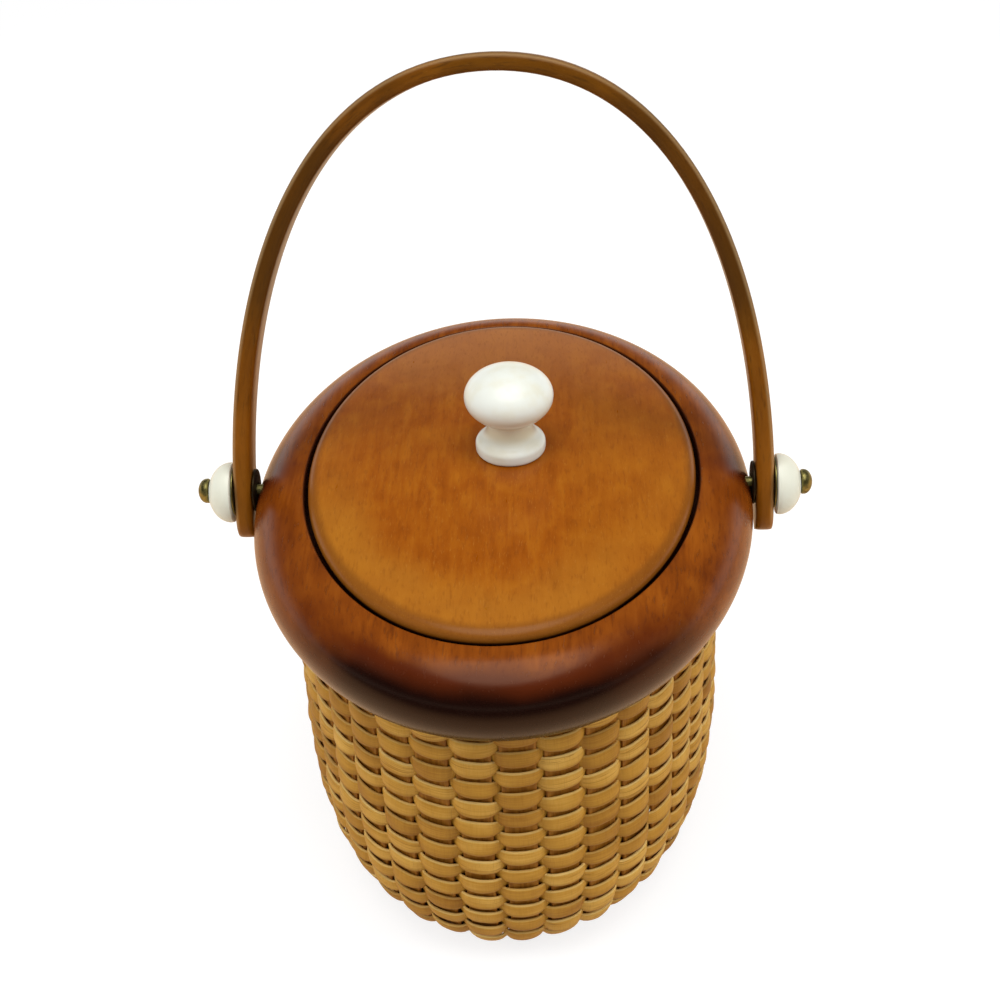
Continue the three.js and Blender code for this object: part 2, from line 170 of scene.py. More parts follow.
# Varnished wood; the grain's numbers are cycles per metre along x, y and z.
def woodFinish(name, look, where=None, ground=None, shade=None):
    share = woodShares
    made = Finish(name)
    place = made.place(where)
    broad, rings, fleck, pore = (made.noise(place, [g * k for g, k in zip(look["grain"], stretch)], *kind)
                                 for stretch, *kind in grainKinds.values())
    patch, dust = (made.noise(place, *kind) for kind in markKinds.values())
    marks = {"patch": patch, "fleck": fleck, "pore": pore, "dust": dust}
    amounts = {key: made.step(mark, *markSteps[key]) * look[key] for key, mark in marks.items()}
    tone = made.node("ValToRGB", {"stops": look["tones"]},
                     {"Fac": broad * share["broad"] + rings * share["rings"]})
    tone = made.mix(amounts["patch"], tone, look["patchTone"])
    if ground:
        tone = ground(made, place, tone)
    for key in ("fleck", "pore", "dust"):
        tone = made.mix(amounts[key], tone, look[key + "Tone"])
    if shade:
        tone = shade(made, place, tone)
    rough = look["rough"] + (rings - 0.5) * share["ringRough"] + amounts["fleck"] * share["fleckRough"]
    height = fleck * share["fleckBump"] + pore * share["poreBump"]
    return made.paint({"Base Color": tone, "Roughness": rough, "Specular IOR Level": look["specular"],
                       "Specular Tint": look["gloss"],
                       "Normal": made.bump(height, look["bump"], share["bumpDepth"])})


# Besides the wood's own tones, three colours here are painted light: a highlight along the front, a pale
# reflection at the far end and shade down in the gap.
lidLook = {"grain": (1200, 240, 1200), "fleck": 0.28, "fleckTone": (0.16, 0.036, 0.002),
           "pore": 0.46, "poreTone": (0.47, 0.21, 0.036), "dust": 0.12, "dustTone": (0.55, 0.30, 0.10),
           "patch": 0.25, "patchTone": (0.37, 0.128, 0.006),
           "tones": [(0.30, (0.23, 0.050, 0.001)), (0.48, (0.30, 0.074, 0.002)),
                     (0.68, (0.37, 0.110, 0.004))],
           "rough": 0.30, "specular": 0.20, "gloss": (1.0, 0.90, 0.78, 1), "bump": 0.08,
           "paintedFrontHighlight": (0.42, 0.168, 0.016), "far": (0.44, 0.175, 0.050), "edge": (0.20, 0.062, 0.006),
           "paintedGapShade": (0.045, 0.010, 0.003)}
lidToneAndPaintedLight = {"oval": (0.0708, 0.1007), "drift": ((34, 26, 34), 4, 0.65),
            "bandShare": (0.42, 0.78), "bandShareDrift": 0.5, "bandFront": (0.020, -0.040),
            "bandFrontDrift": 0.08, "bandEnd": (0.020, 0.055), "bandFade": 0.6, "bandAmount": 0.50,
            "far": (0.030, 0.085), "farDrift": 0.06, "farAmount": 0.45,
            "edge": (0.87, 0.95), "edgeDrift": 0.06, "edgeAmount": 0.8, "gap": (0.1528, 0.1518)}


# The lid is paler in a band along its front, a painted highlight, and yellower at its far end, a painted
# reflection; it is browner at its edge.
def lidGround(made, place, tone):
    tinting = lidToneAndPaintedLight
    x, y = made.parts(place, "XY")
    drift = made.noise(place, *tinting["drift"]) - 0.5
    wide, long = tinting["oval"]
    share = x * x / wide ** 2 + y * y / long ** 2
    # A painted highlight in a band along the front.
    paintedFrontHighlight = made.step(share + drift * tinting["bandShareDrift"], *tinting["bandShare"])
    paintedFrontHighlight = paintedFrontHighlight * made.step(y + drift * tinting["bandFrontDrift"], *tinting["bandFront"])
    paintedFrontHighlight = paintedFrontHighlight * (1 - made.step(x, *tinting["bandEnd"]) * tinting["bandFade"])
    tone = made.mix(paintedFrontHighlight * tinting["bandAmount"], tone, lidLook["paintedFrontHighlight"])
    # A painted reflection at the far end.
    far = made.step(y + drift * tinting["farDrift"], *tinting["far"])
    tone = made.mix(far * tinting["farAmount"], tone, lidLook["far"])
    edge = made.step(share + drift * tinting["edgeDrift"], *tinting["edge"])
    return made.mix(edge * tinting["edgeAmount"], tone, lidLook["edge"])


# Painted shade down in the gap.
def lidShade(made, place, tone):
    height = made.parts(place, "Z")[0]
    return made.mix(made.step(height, *lidToneAndPaintedLight["gap"]), tone, lidLook["paintedGapShade"])


# The two darker colours darken the collar's lower edge, partly as a stain and partly as painted shade; the
# middle one also paints shade on its left side and a reflection of the dark handle round the pins. The gap's
# colour is painted shade.
collarLook = {"grain": (900, 130, 900), "fleck": 0.50, "fleckTone": (0.085, 0.018, 0.002),
              "pore": 0.20, "poreTone": (0.30, 0.09, 0.010), "dust": 0.02, "dustTone": (0.38, 0.18, 0.07),
              "patch": 0.40, "patchTone": (0.17, 0.036, 0.003),
              "tones": [(0.32, (0.13, 0.026, 0.002)), (0.50, (0.23, 0.053, 0.003)),
                        (0.68, (0.32, 0.086, 0.005))],
              "rough": 0.23, "specular": 0.29, "gloss": (1.0, 0.74, 0.54, 1), "bump": 0.02,
              "deep": (0.009, 0.0016, 0.0009), "middle": (0.085, 0.013, 0.002),
              "paintedGapShade": (0.045, 0.010, 0.003)}
collarStainAndShade = {"drift": ((40, 40, 40), 2, 0.5), "levelDrift": 0.005, "front": (-0.062, -0.114),
               "frontDrift": 0.03, "middle": (0.1535, 0.1496), "frontShare": 0.7, "evenShare": 0.3,
               "deep": (0.1502, 0.1440), "left": (-0.050, -0.088), "leftShadeAmount": 0.30,
               "pinHeight": 0.1437, "pin": (0.00015, 0.00002), "pinReflectionAmount": 0.85,
               "mouth": (0.0730, 0.1035), "gap": (1.0, 0.985)}


# The collar is darker towards its lower edge, most of all in front, partly a stain and partly painted shade.
# Painted shade darkens its left side and the gap; a painted reflection of the handle darkens it round the
# pins.
def collarShade(made, place, tone):
    tinting = collarStainAndShade
    x, y, z = made.parts(place, "XYZ")
    drift = made.noise(place, *tinting["drift"]) - 0.5
    # Darker towards the lower edge, most of all in front: partly a stain, partly painted shade.
    level = z + drift * tinting["levelDrift"]
    front = made.step(y + drift * tinting["frontDrift"], *tinting["front"])
    lower = made.step(level, *tinting["middle"]) * (front * tinting["frontShare"] + tinting["evenShare"])
    tone = made.mix(lower, tone, collarLook["middle"])
    tone = made.mix(made.step(level, *tinting["deep"]) * front, tone, collarLook["deep"])
    # Painted shade on the left side.
    tone = made.mix(made.step(x, *tinting["left"]) * tinting["leftShadeAmount"], tone, collarLook["middle"])
    # A painted reflection of the dark handle round the pins.
    rise = z - tinting["pinHeight"]
    pin = made.step(y * y + rise * rise, *tinting["pin"])
    tone = made.mix(pin * tinting["pinReflectionAmount"], tone, collarLook["middle"])
    # Painted shade down in the gap.
    wide, long = tinting["mouth"]
    gap = made.step(x * x / wide ** 2 + y * y / long ** 2, *tinting["gap"])
    return made.mix(gap, tone, collarLook["paintedGapShade"])


# The palest colour is a painted highlight along the outer edges.
handleLook = {"grain": (160, 1100, 1100), "fleck": 0.50, "fleckTone": (0.050, 0.018, 0.002),
              "pore": 0.34, "poreTone": (0.32, 0.14, 0.026), "dust": 0.04, "dustTone": (0.36, 0.20, 0.08),
              "patch": 0.60, "patchTone": (0.100, 0.036, 0.002),
              "tones": [(0.28, (0.110, 0.033, 0.002)), (0.50, (0.180, 0.056, 0.003)),
                        (0.72, (0.245, 0.086, 0.005))],
              "rough": 0.30, "specular": 0.24, "gloss": (1.0, 0.76, 0.50, 1), "bump": 0.08,
              "bendDark": (0.060, 0.022, 0.003), "leg": (0.30, 0.095, 0.006), "paintedEdgeHighlight": (0.42, 0.27, 0.12)}
handleToneAndHighlight = {"drift": ((30, 60, 60), 3, 0.6), "levelDrift": 0.05, "bendFoot": (0.190, 0.225),
               "bendTop": (0.288, 0.262), "bendAmount": 0.72, "leg": (0.185, 0.155), "legAmount": 0.40,
               "outside": (0.0014, 0.0026), "side": (0.0062, 0.0080), "edgeHighlightAmount": 0.45}


# The handle is redder low on its legs, darker where it bends over, with a painted highlight on its outer
# edges.
def handleShade(made, place, tone):
    tinting = handleToneAndHighlight
    across, through = made.parts(place, "YZ")
    height = made.parts(made.place(), "Z")[0]
    drift = made.noise(place, *tinting["drift"]) - 0.5
    level = height + drift * tinting["levelDrift"]
    bends = made.step(level, *tinting["bendFoot"]) * made.step(level, *tinting["bendTop"])
    tone = made.mix(bends * tinting["bendAmount"], tone, handleLook["bendDark"])
    tone = made.mix(made.step(level, *tinting["leg"]) * tinting["legAmount"], tone, handleLook["leg"])
    # A painted highlight along the strip's outer edges.
    sides = made.step(across * across, *(v ** 2 for v in tinting["side"]))
    paintedEdgeHighlight = made.step(through, *tinting["outside"]) * sides
    return made.mix(paintedEdgeHighlight * tinting["edgeHighlightAmount"], tone, handleLook["paintedEdgeHighlight"])


lidWood = woodFinish("varnished_lid_wood", lidLook, ground=lidGround, shade=lidShade)
collarWood = woodFinish("varnished_collar_wood", collarLook, shade=collarShade)
baseWood = woodFinish("base_wood", dict(collarLook, rough=0.45))
handleWood = woodFinish("bent_handle_wood", handleLook, where="strip", shade=handleShade)

# The edge colour is a painted highlight, and the dark one also paints shade along a strand's lower edge.
caneLook = {"dark": (0.27, 0.108, 0.008), "mid": (0.47, 0.228, 0.025), "light": (0.68, 0.395, 0.080),
            "stops": (0.30, 0.50, 0.72), "edge": (0.82, 0.600, 0.230), "rough": 0.52, "specular": 0.16,
            "ticks": ((1500, 0.35, 1.0), 2, 0.6), "fibre": ((60, 7.0, 3.0), 3, 0.6),
            "blotch": ((45, 0.3, 1.7), 2, 0.5), "split": ((20, 2.4, 2.0), 1, 0.4),
            "blotchShare": 0.40, "fibreShare": 0.25, "tickShare": 0.15, "chanceShare": 0.080, "darker": 0.02,
            "splitWidth": (0.0004, 0.0001), "splitChance": (1.7, 2.1), "splitAmount": 0.6,
            "tickStep": (0.56, 0.70), "tickAmount": 0.30, "upperHighlight": (0.72, 1.0), "upperHighlightAmount": 0.22,
            "upperHighlightChance": 0.16, "lower": (-0.30, -1.0), "lowerShadeAmount": 0.7,
            "tickBump": 0.5, "fibreBump": 0.5, "fibreRough": 0.2, "bump": 0.25, "bumpDepth": 0.0003}


# Cane in blotches with ticks and fine splits, with a painted highlight along a strand's upper edge and
# painted shade along the lower.
def caneFinish():
    look = caneLook
    made = Finish("woven_cane")
    place = made.place("strand")
    across, chance = made.parts(place, "YZ")
    ticks, fibre, blotch = (made.noise(place, *look[k]) for k in ("ticks", "fibre", "blotch"))
    split = made.noise(place, *look["split"]) - 0.5
    line = made.step(split * split, *look["splitWidth"]) * made.step(chance, *look["splitChance"])
    stops = list(zip(look["stops"], (look["dark"], look["mid"], look["light"])))
    spread = blotch * look["blotchShare"] + fibre * look["fibreShare"] + ticks * look["tickShare"]
    spread = spread + chance * look["chanceShare"] - look["darker"]
    tone = made.node("ValToRGB", {"stops": stops}, {"Fac": spread})
    tone = made.mix(made.step(ticks, *look["tickStep"]) * look["tickAmount"], tone, look["dark"])
    tone = made.mix(line * look["splitAmount"], tone, look["dark"])
    # A painted highlight along the strand's upper edge.
    paintedHighlight = look["upperHighlightAmount"] + chance * look["upperHighlightChance"]
    tone = made.mix(made.step(across, *look["upperHighlight"]) * paintedHighlight, tone, look["edge"])
    # Painted shade along the strand's lower edge.
    tone = made.mix(made.step(across, *look["lower"]) * look["lowerShadeAmount"], tone, look["dark"])
    height = ticks * look["tickBump"] + fibre * look["fibreBump"]
    return made.paint({"Base Color": tone, "Roughness": look["rough"] + (fibre - 0.5) * look["fibreRough"],
                       "Specular IOR Level": look["specular"],
                       "Normal": made.bump(height, look["bump"], look["bumpDepth"])})


staveLook = {"dark": (0.22, 0.078, 0.005), "light": (0.32, 0.126, 0.011), "rough": 0.62, "specular": 0.2,
             "grain": ((40, 3.0, 2.0), 3, 0.6), "grainStep": (0.35, 0.68), "bump": 0.1, "bumpDepth": 0.0003}


def staveFinish():
    look = staveLook
    made = Finish("split_stave")
    grain = made.noise(made.place("strand"), *look["grain"])
    tone = made.mix(made.step(grain, *look["grainStep"]), look["dark"], look["light"])
    return made.paint({"Base Color": tone, "Roughness": look["rough"],
                       "Specular IOR Level": look["specular"],
                       "Normal": made.bump(grain, look["bump"], look["bumpDepth"])})


whiteLook = {"cloud": ((110, 110, 110), 3, 0.5), "cloudStep": (0.40, 0.72), "cloudAmount": 0.5,
             "cloudRough": 0.06, "bounceBandTop": 0.009, "bounceBandFoot": (0.021, 0.016), "specular": 0.4,
             "lines": ((240, 240, 900), 2, 0.5), "bump": 0.02, "bumpDepth": 0.0002}
# The warm colour serves the yellowing in clouds and the painted bounce light below the level.
knobLook = {"tone": (0.79, 0.81, 0.74), "yellowingAndBounce": (0.73, 0.690, 0.510), "rough": 0.22, "level": 0.186}
bossLook = {"tone": (0.74, 0.74, 0.62), "yellowingAndBounce": (0.72, 0.69, 0.54), "rough": 0.34, "level": 0.145}


# White turned stuff, yellower in clouds and in a band just below a level; the band is painted warm light
# bounced up from below.
def ivoryFinish(name, look):
    white = whiteLook
    made = Finish(name)
    place = made.place()
    cloud, lines = (made.noise(place, *white[k]) for k in ("cloud", "lines"))
    height = made.parts(place, "Z")[0]
    level = look["level"]
    # Painted warm light bounced up from below.
    low = made.step(height, level, level - white["bounceBandTop"])
    low = low * made.step(height, *(level - v for v in white["bounceBandFoot"]))
    clouds = made.step(cloud, *white["cloudStep"]) * white["cloudAmount"]
    return made.paint({"Base Color": made.mix(clouds.atLeast(low), look["tone"], look["yellowingAndBounce"]),
                       "Roughness": look["rough"] + (cloud - 0.5) * white["cloudRough"],
                       "Specular IOR Level": white["specular"],
                       "Normal": made.bump(lines, white["bump"], white["bumpDepth"])})


metalLook = {"tinting": ((420, 420, 420), 4, 0.6), "stainStep": (0.42, 0.68), "stainAmount": 0.75,
             "stainMetal": 0.25, "stainRough": 0.22, "fine": ((2400, 2400, 2400), 2, 0.5),
             "bump": 0.08, "bumpDepth": 0.0001}
brassLook = {"bright": (0.30, 0.26, 0.085), "dull": (0.10, 0.082, 0.028), "rough": 0.36}
# Dull brass, darkened further with painted shade for the spacers, which sit in shadow between leg and
# collar.
dullShadedLook = {"bright": (0.05, 0.036, 0.018), "dull": (0.014, 0.010, 0.006), "rough": 0.45}


def brassFinish(name, look):
    metal = metalLook
    made = Finish(name)
    tinting, fine = (made.noise(made.place(), *metal[k]) for k in ("tinting", "fine"))
    aged = made.step(tinting, *metal["stainStep"])
    return made.paint({"Base Color": made.mix(aged * metal["stainAmount"], look["bright"], look["dull"]),
                       "Metallic": 1.0 - aged * metal["stainMetal"],
                       "Roughness": look["rough"] + aged * metal["stainRough"],
                       "Normal": made.bump(fine, metal["bump"], metal["bumpDepth"])})


cane = caneFinish()
staveWood = staveFinish()
whiteKnob = ivoryFinish("white_knob", knobLook)
whiteBoss = ivoryFinish("white_boss", bossLook)
brass = brassFinish("aged_brass", brassLook)
dullShadedBrass = brassFinish("dull_shaded_brass", dullShadedLook)
print("finishes made")


# Edges sharper than so many degrees stay hard.
def showMesh(name, verts, faces, finish, body, replaced, sharp=38, attribute=None):
    mesh = bpy.data.meshes.new(name)
    mesh.from_pydata(verts, [], faces)
    if attribute:
        made = mesh.attributes.new(attribute[0], "FLOAT_VECTOR", "POINT")
        made.data.foreach_set("vector", [v for row in attribute[1] for v in row])
    work = bmesh.new()
    work.from_mesh(mesh)
    bmesh.ops.recalc_face_normals(work, faces=work.faces)
    for face in work.faces:
        face.smooth = True
    for edge in work.edges:
        edge.smooth = not (len(edge.link_faces) == 2 and edge.calc_face_angle(0) > math.radians(sharp))
    work.to_mesh(mesh)
    work.free()
    mesh.materials.append(finish)
    piece = bpy.data.objects.new(name, mesh)
    scene.collection.objects.link(piece)
    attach(piece, body)
    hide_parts(*replaced)
    return piece


# Profile with each corner (radius, height, rounding) rounded off.
def softened(corners, steps=4):
    line = []
    for i, (r, z, k) in enumerate(corners):
        here = Vector((r, z))
        if not k:
            line.append((r, z))
            continue
        before = Vector(corners[i - 1][:2])
        after = Vector(corners[(i + 1) % len(corners)][:2])
        a = here + (before - here).normalized() * k
        b = here + (after - here).normalized() * k
        for j in range(steps + 1):
            t = j / steps
            spot = a * (1 - t) ** 2 + here * 2 * t * (1 - t) + b * t ** 2
            line.append((spot.x, spot.y))
    return line


def arcLine(r, z, across, up, start, end, steps):
    return [(r + across * math.cos(start + (end - start) * i / steps),
             z + up * math.sin(start + (end - start) * i / steps)) for i in range(steps + 1)]


# Smooth curve through all points.
def smoothLine(points, steps):
    line = []
    for i in range(len(points) - 1):
        p = [Vector(points[min(max(i + k, 0), len(points) - 1)]) for k in (-1, 0, 1, 2)]
        for j in range(steps):
            t = j / steps
            spot = 0.5 * (2 * p[1] + (p[2] - p[0]) * t + (2 * p[0] - 5 * p[1] + 4 * p[2] - p[3]) * t * t
                          + (3 * p[1] - p[0] - 3 * p[2] + p[3]) * t ** 3)
            line.append((max(spot.x, 0.0), spot.y))
    return line + [tuple(points[-1])]


# Place at share t of the curve from a to d that b and c pull.
def cubic(a, b, c, d, t):
    return a * (1 - t) ** 3 + b * 3 * t * (1 - t) ** 2 + c * 3 * t * t * (1 - t) + d * t ** 3


# The table's steps start at the middle of the front end, a quarter turn before +x.
ovalSizes = {"mouth": 72.2, "ends": 30.5, "table": 76.9, "tableSteps": 720, "frontTurn": 0.25,
             "staves": 39, "phase": 0.44}
onAxis = 1e-6


# Half length of the oval for a radius measured at its sides.
def halfLength(r):
    return r + ovalSizes["ends"] * min(1.0, r / ovalSizes["mouth"])


def onOval(r, angle, z):
    return Vector((r * math.cos(angle), halfLength(r) * math.sin(angle), z))


def outward(r, angle):
    return Vector((math.cos(angle) / r, math.sin(angle) / halfLength(r), 0)).normalized()


# Rings from a profile in mm, joined: a ring is oval, or round where the profile gives its middle (x).
# A profile that ends on the axis closes to a point, otherwise it is a loop.
def ringMesh(profile, segments, turn=None):
    ended = profile[0][0] < onAxis or profile[-1][0] < onAxis
    verts, rings, faces = [], [], []
    for r, z, *middle in profile:
        x = middle[0] if middle else 0
        if r < onAxis:
            rings.append([len(verts)])
            verts.append(Vector((x, 0, z)) * mm)
            continue
        rings.append(list(range(len(verts), len(verts) + segments)))
        for i in range(segments):
            angle = 2 * math.pi * i / segments
            spot = onOval(r, angle, z)
            if middle:
                spot = Vector((x + r * math.cos(angle), r * math.sin(angle), z))
            verts.append(spot * mm)
    pairs = list(zip(rings, rings[1:])) + ([] if ended else [(rings[-1], rings[0])])
    for a, b in pairs:
        for i in range(segments):
            k = (i + 1) % segments
            if len(a) == 1:
                faces.append((a[0], b[i], b[k]))
            elif len(b) == 1:
                faces.append((a[i], b[0], a[k]))
            else:
                faces.append((a[i], b[i], b[k], a[k]))
    if turn:
        verts = [turn @ v for v in verts]
    return verts, faces


def turnedMesh(profile, segments, turn):
    return ringMesh([(r, z, 0) for r, z in profile], segments, turn)


# Tube faces over rings of equal count, closed at both ends.
def tubeFaces(rings, n):
    faces = [(i * n + k, i * n + (k + 1) % n, (i + 1) * n + (k + 1) % n, (i + 1) * n + k)
             for i in range(rings - 1) for k in range(n)]
    return faces + [tuple(range(n)), tuple((rings - 1) * n + k for k in reversed(range(n)))]


def tableAngle(i):
    return 2 * math.pi * (i / ovalSizes["tableSteps"] - ovalSizes["frontTurn"])


# Length round the oval up to each step of the table.
def roundTable():
    runs, last = [0.0], None
    for i in range(ovalSizes["tableSteps"] + 1):
        spot = onOval(ovalSizes["table"], tableAngle(i), 0)
        if last:
            runs.append(runs[-1] + (spot - last).length)
        last = spot
    return runs


roundRuns = roundTable()


def findSpan(runs, run):
    low, high = 0, len(runs) - 1
    while high - low > 1:
        half = (low + high) // 2
        low, high = (half, high) if runs[half] <= run else (low, half)
    return low, (run - runs[low]) / (runs[high] - runs[low])


# Steps of equal length round the oval, one for each stave, from the middle of the front end.
def stepAngle(step):
    share = step / ovalSizes["staves"] % 1.0
    i, part = findSpan(roundRuns, share * roundRuns[-1])
    return tableAngle(i + part)


wallSizes = {"top": (78.85, 129.97), "foot": (57.75, 5.5), "pull": 44.0, "taper": 5.5, "turn": 33.0,
             "steps": 400}


def wallLine():
    top, foot = Vector(wallSizes["top"]), Vector(wallSizes["foot"])
    lean = math.radians(wallSizes["taper"])
    b = top - wallSizes["pull"] * Vector((math.sin(lean), math.cos(lean)))
    c = foot + Vector((wallSizes["turn"], 0))
    spots = [cubic(top, b, c, foot, i / wallSizes["steps"]) for i in range(wallSizes["steps"] + 1)]
    runs = [0.0]
    for here, after in zip(spots, spots[1:]):
        runs.append(runs[-1] + (after - here).length)
    return runs, spots


wallRuns, wallSpots = wallLine()


# Place on the wall's middle line at a run from the top, with the way down and the way out.
def onWall(run):
    i, part = findSpan(wallRuns, min(max(run, 0.0), wallRuns[-1]))
    down = (wallSpots[i + 1] - wallSpots[i]).normalized()
    return wallSpots[i].lerp(wallSpots[i + 1], part), down, Vector((-down.y, down.x))


# One long strand that climbs down round the odd number of staves, over one and under the next.
weaveSizes = {"first": 2.07, "pitch": 4.63, "end": 2.2, "over": 6.4, "between": 5.45, "under": 7.0,
              "thickness": 1.35, "swing": 2.15, "perStave": 10, "tilt": -4.0, "seed": 7, "sharp": 60,
              "inset": 0.4, "footInset": 1.3, "insetRun": 60, "footRun": 90, "footFade": 20,
              "footExtra": 0.5, "loose": 0.07, "slip": 0.20, "slipMost": 1.4, "twist": 3.5, "tones": 3,
              "waveShare": 0.35, "flatShare": 0.65, "flat": 0.25, "flatGain": 1.118, "widening": 0.5,
              "section": [(1.0, 0.0), (0.93, 0.72), (0.62, 0.98), (0.0, 1.06), (-0.62, 0.98), (-0.93, 0.72),
                          (-1.0, 0.0), (-0.93, -0.72), (-0.5, -0.95), (0.5, -0.95), (0.93, -0.72)]}


# The wall is drawn in a little towards its foot.
def insetAt(run):
    share = min(run / weaveSizes["insetRun"], 1.0)
    return weaveSizes["inset"] + (weaveSizes["footInset"] - weaveSizes["inset"]) * share


def weave():
    s = weaveSizes
    rand = random.Random(s["seed"])
    perTurn = ovalSizes["staves"] * s["perStave"]
    thick = s["thickness"] / 2
    total = int((wallRuns[-1] - s["end"] - s["first"]) / s["pitch"] * perTurn)
    bumps = {}
    verts, strand = [], []
    along = 0.0
    for i in range(total + 1):
        step = i / s["perStave"]
        wave = math.cos(math.pi * step)
        bump = round(step)
        for k in (bump - 1, bump, bump + 1):
            if k not in bumps:
                bumps[k] = (rand.gauss(0, 1), rand.gauss(0, 1), rand.gauss(0, 1), rand.random())
        share = step - bump
        near = bumps[bump + (1 if share > 0 else -1)]
        blend = abs(share)
        loose, slip, twist = (bumps[bump][k] * (1 - blend) + near[k] * blend for k in range(3))
        slip = min(max(slip, -s["slipMost"]), s["slipMost"]) * s["slip"]
        run = s["first"] + s["pitch"] * i / perTurn + slip
        spot, down, out = onWall(run)
        flat = wave / math.sqrt(wave * wave + s["flat"]) * s["flatGain"]
        swing = s["swing"] * (1 + loose * s["loose"]) * (s["waveShare"] * wave + s["flatShare"] * flat)
        lean = math.radians(s["tilt"] * wave + twist * s["twist"])
        up = down * -1
        face = out * math.cos(lean) - up * math.sin(lean)
        rise = up * math.cos(lean) + out * math.sin(lean)
        angle = stepAngle(step + ovalSizes["phase"])
        foot, way = onOval(spot.x, angle, spot.y), outward(spot.x, angle)
        most = s["over"] * (1 + s["loose"] * loose) if wave > 0 else s["under"]
        least = s["between"] + s["footExtra"] * min(max(run - s["footRun"], 0) / s["footFade"], 1)
        half = (least + (most - least) * abs(wave) ** s["widening"]) / 2
        for a, b in s["section"]:
            move = out * (swing - insetAt(run)) + rise * a * half + face * b * thick
            verts.append((foot + way * move.x + Vector((0, 0, move.y))) * mm)
            strand.append((along * mm, a, bumps[bump][3] * s["tones"]))
        along += roundRuns[-1] / perTurn
    faces = tubeFaces(total + 1, len(s["section"]))
    showMesh("weave", verts, faces, cane, "basket", ["woven_wall"], s["sharp"], ("strand", strand))


weave()
print("weave done")

staveSizes = {"thickness": 1.4, "top": 13.0, "foot": 9.2, "tongue": 48.8, "steps": 46, "seed": 3,
              "shift": 5, "spread": 0.3, "bevel": (0.94, 0.6), "sharp": 30}


def staves():
    s = staveSizes
    rand = random.Random(s["seed"])
    flat, edge = s["bevel"]
    section = ((-1, -edge), (-flat, -1), (flat, -1), (1, -edge),
               (1, edge), (flat, 1), (-flat, 1), (-1, edge))
    top, foot = wallSizes["top"][1], wallSizes["foot"][1]
    stations = [onWall(wallRuns[-1] * i / s["steps"]) for i in range(s["steps"] + 1)]
    stations.append((Vector((s["tongue"], foot)), Vector((-1, 0)), stations[-1][2]))
    faces = tubeFaces(len(stations), len(section))
    for number in range(ovalSizes["staves"]):
        angle = stepAngle(number + ovalSizes["phase"])
        verts, strand = [], []
        shift = rand.random() * s["shift"]
        for i, (spot, _, out) in enumerate(stations):
            run = wallRuns[-1] * i / s["steps"]
            share = (spot.y - foot) / (top - foot)
            wide = (s["foot"] + (s["top"] - s["foot"]) * share) / 2
            way = outward(spot.x, angle)
            side = Vector((-way.y, way.x, 0))
            middle = onOval(spot.x, angle, spot.y)
            for x, y in section:
                move = out * (y * s["thickness"] / 2 - insetAt(run))
                verts.append((middle + way * move.x + side * x * wide + Vector((0, 0, move.y))) * mm)
                strand.append((run * mm, x * wide * s["spread"] + shift, y + shift))
        name = f"stave_{number + 1:02d}"
        showMesh(name + "_strip", verts, faces, staveWood, "basket", [name], s["sharp"],
                 ("strand", strand))


staves()
print("staves done")

baseSizes = {"radius": 57.0, "thickness": 11.0, "groove": (4.4, 6.6), "depth": 9.0, "footRound": 1.6,
             "grooveRound": 0.4, "topRound": 1.8, "segments": 144}


def base():
    s = baseSizes
    r, t, k = s["radius"], s["thickness"], s["grooveRound"]
    low, high = s["groove"]
    inner = r - s["depth"]
    corners = [(0, 0, 0), (r, 0, s["footRound"]), (r, low, k), (inner, low, 0), (inner, high, 0),
               (r, high, k), (r, t, s["topRound"]), (0, t, 0)]
    verts, faces = ringMesh(softened(corners), s["segments"])
    showMesh("base_disc", verts, faces, baseWood, "basket", ["base"])


collarSizes = {"height": 153.5, "radius": 92.0, "swell": 18.7, "rise": 15.5, "tuck": 18.3, "rim": 19.8,
               "ledge": 10.5, "ledgeWidth": 9.3, "ledgeThickness": 12.5, "lipInset": 10.3, "lip": 2.0,
               "edge": 1.0, "edgeTurns": (0.5, 0.9, 1.25, math.pi / 2), "bevel": 0.6, "lipBevel": 0.4,
               "shoulderSteps": 36, "tuckSteps": 14, "segments": 208}


def collar():
    s = collarSizes
    widest, crown = s["height"] - s["rise"], s["radius"] - s["swell"]
    mouth = s["radius"] - s["rim"]
    bore = mouth - s["ledgeWidth"]
    ledge = s["height"] - s["ledge"]
    seat = ledge - s["ledgeThickness"]
    seatRadius = s["radius"] - s["lipInset"]
    lipAngle = math.acos((seatRadius + s["lip"] - crown) / s["swell"])
    mouthAngle = math.acos((mouth + s["edge"] - crown) / s["swell"])
    shoulder = arcLine(crown, widest, s["swell"], s["rise"], 0, mouthAngle, s["shoulderSteps"])
    tuck = arcLine(crown, widest, s["swell"], s["tuck"], -lipAngle, 0, s["tuckSteps"])[:-1]
    lipHeight = tuck[0][1]
    bend = [(mouth + s["edge"] * (1 - math.sin(a)), shoulder[-1][1] - s["edge"] * (1 - math.cos(a)))
            for a in s["edgeTurns"]]
    profile = [(bore, seat + s["bevel"]), (bore + s["bevel"], seat), (seatRadius, seat),
               (seatRadius, lipHeight + s["lipBevel"]), (seatRadius + s["lipBevel"], lipHeight)]
    profile += tuck + shoulder + bend
    profile += [(mouth, ledge), (bore + s["bevel"], ledge), (bore, ledge - s["bevel"])]
    verts, faces = ringMesh(profile, s["segments"])
    showMesh("collar_ring", verts, faces, collarWood, "basket", ["collar"])


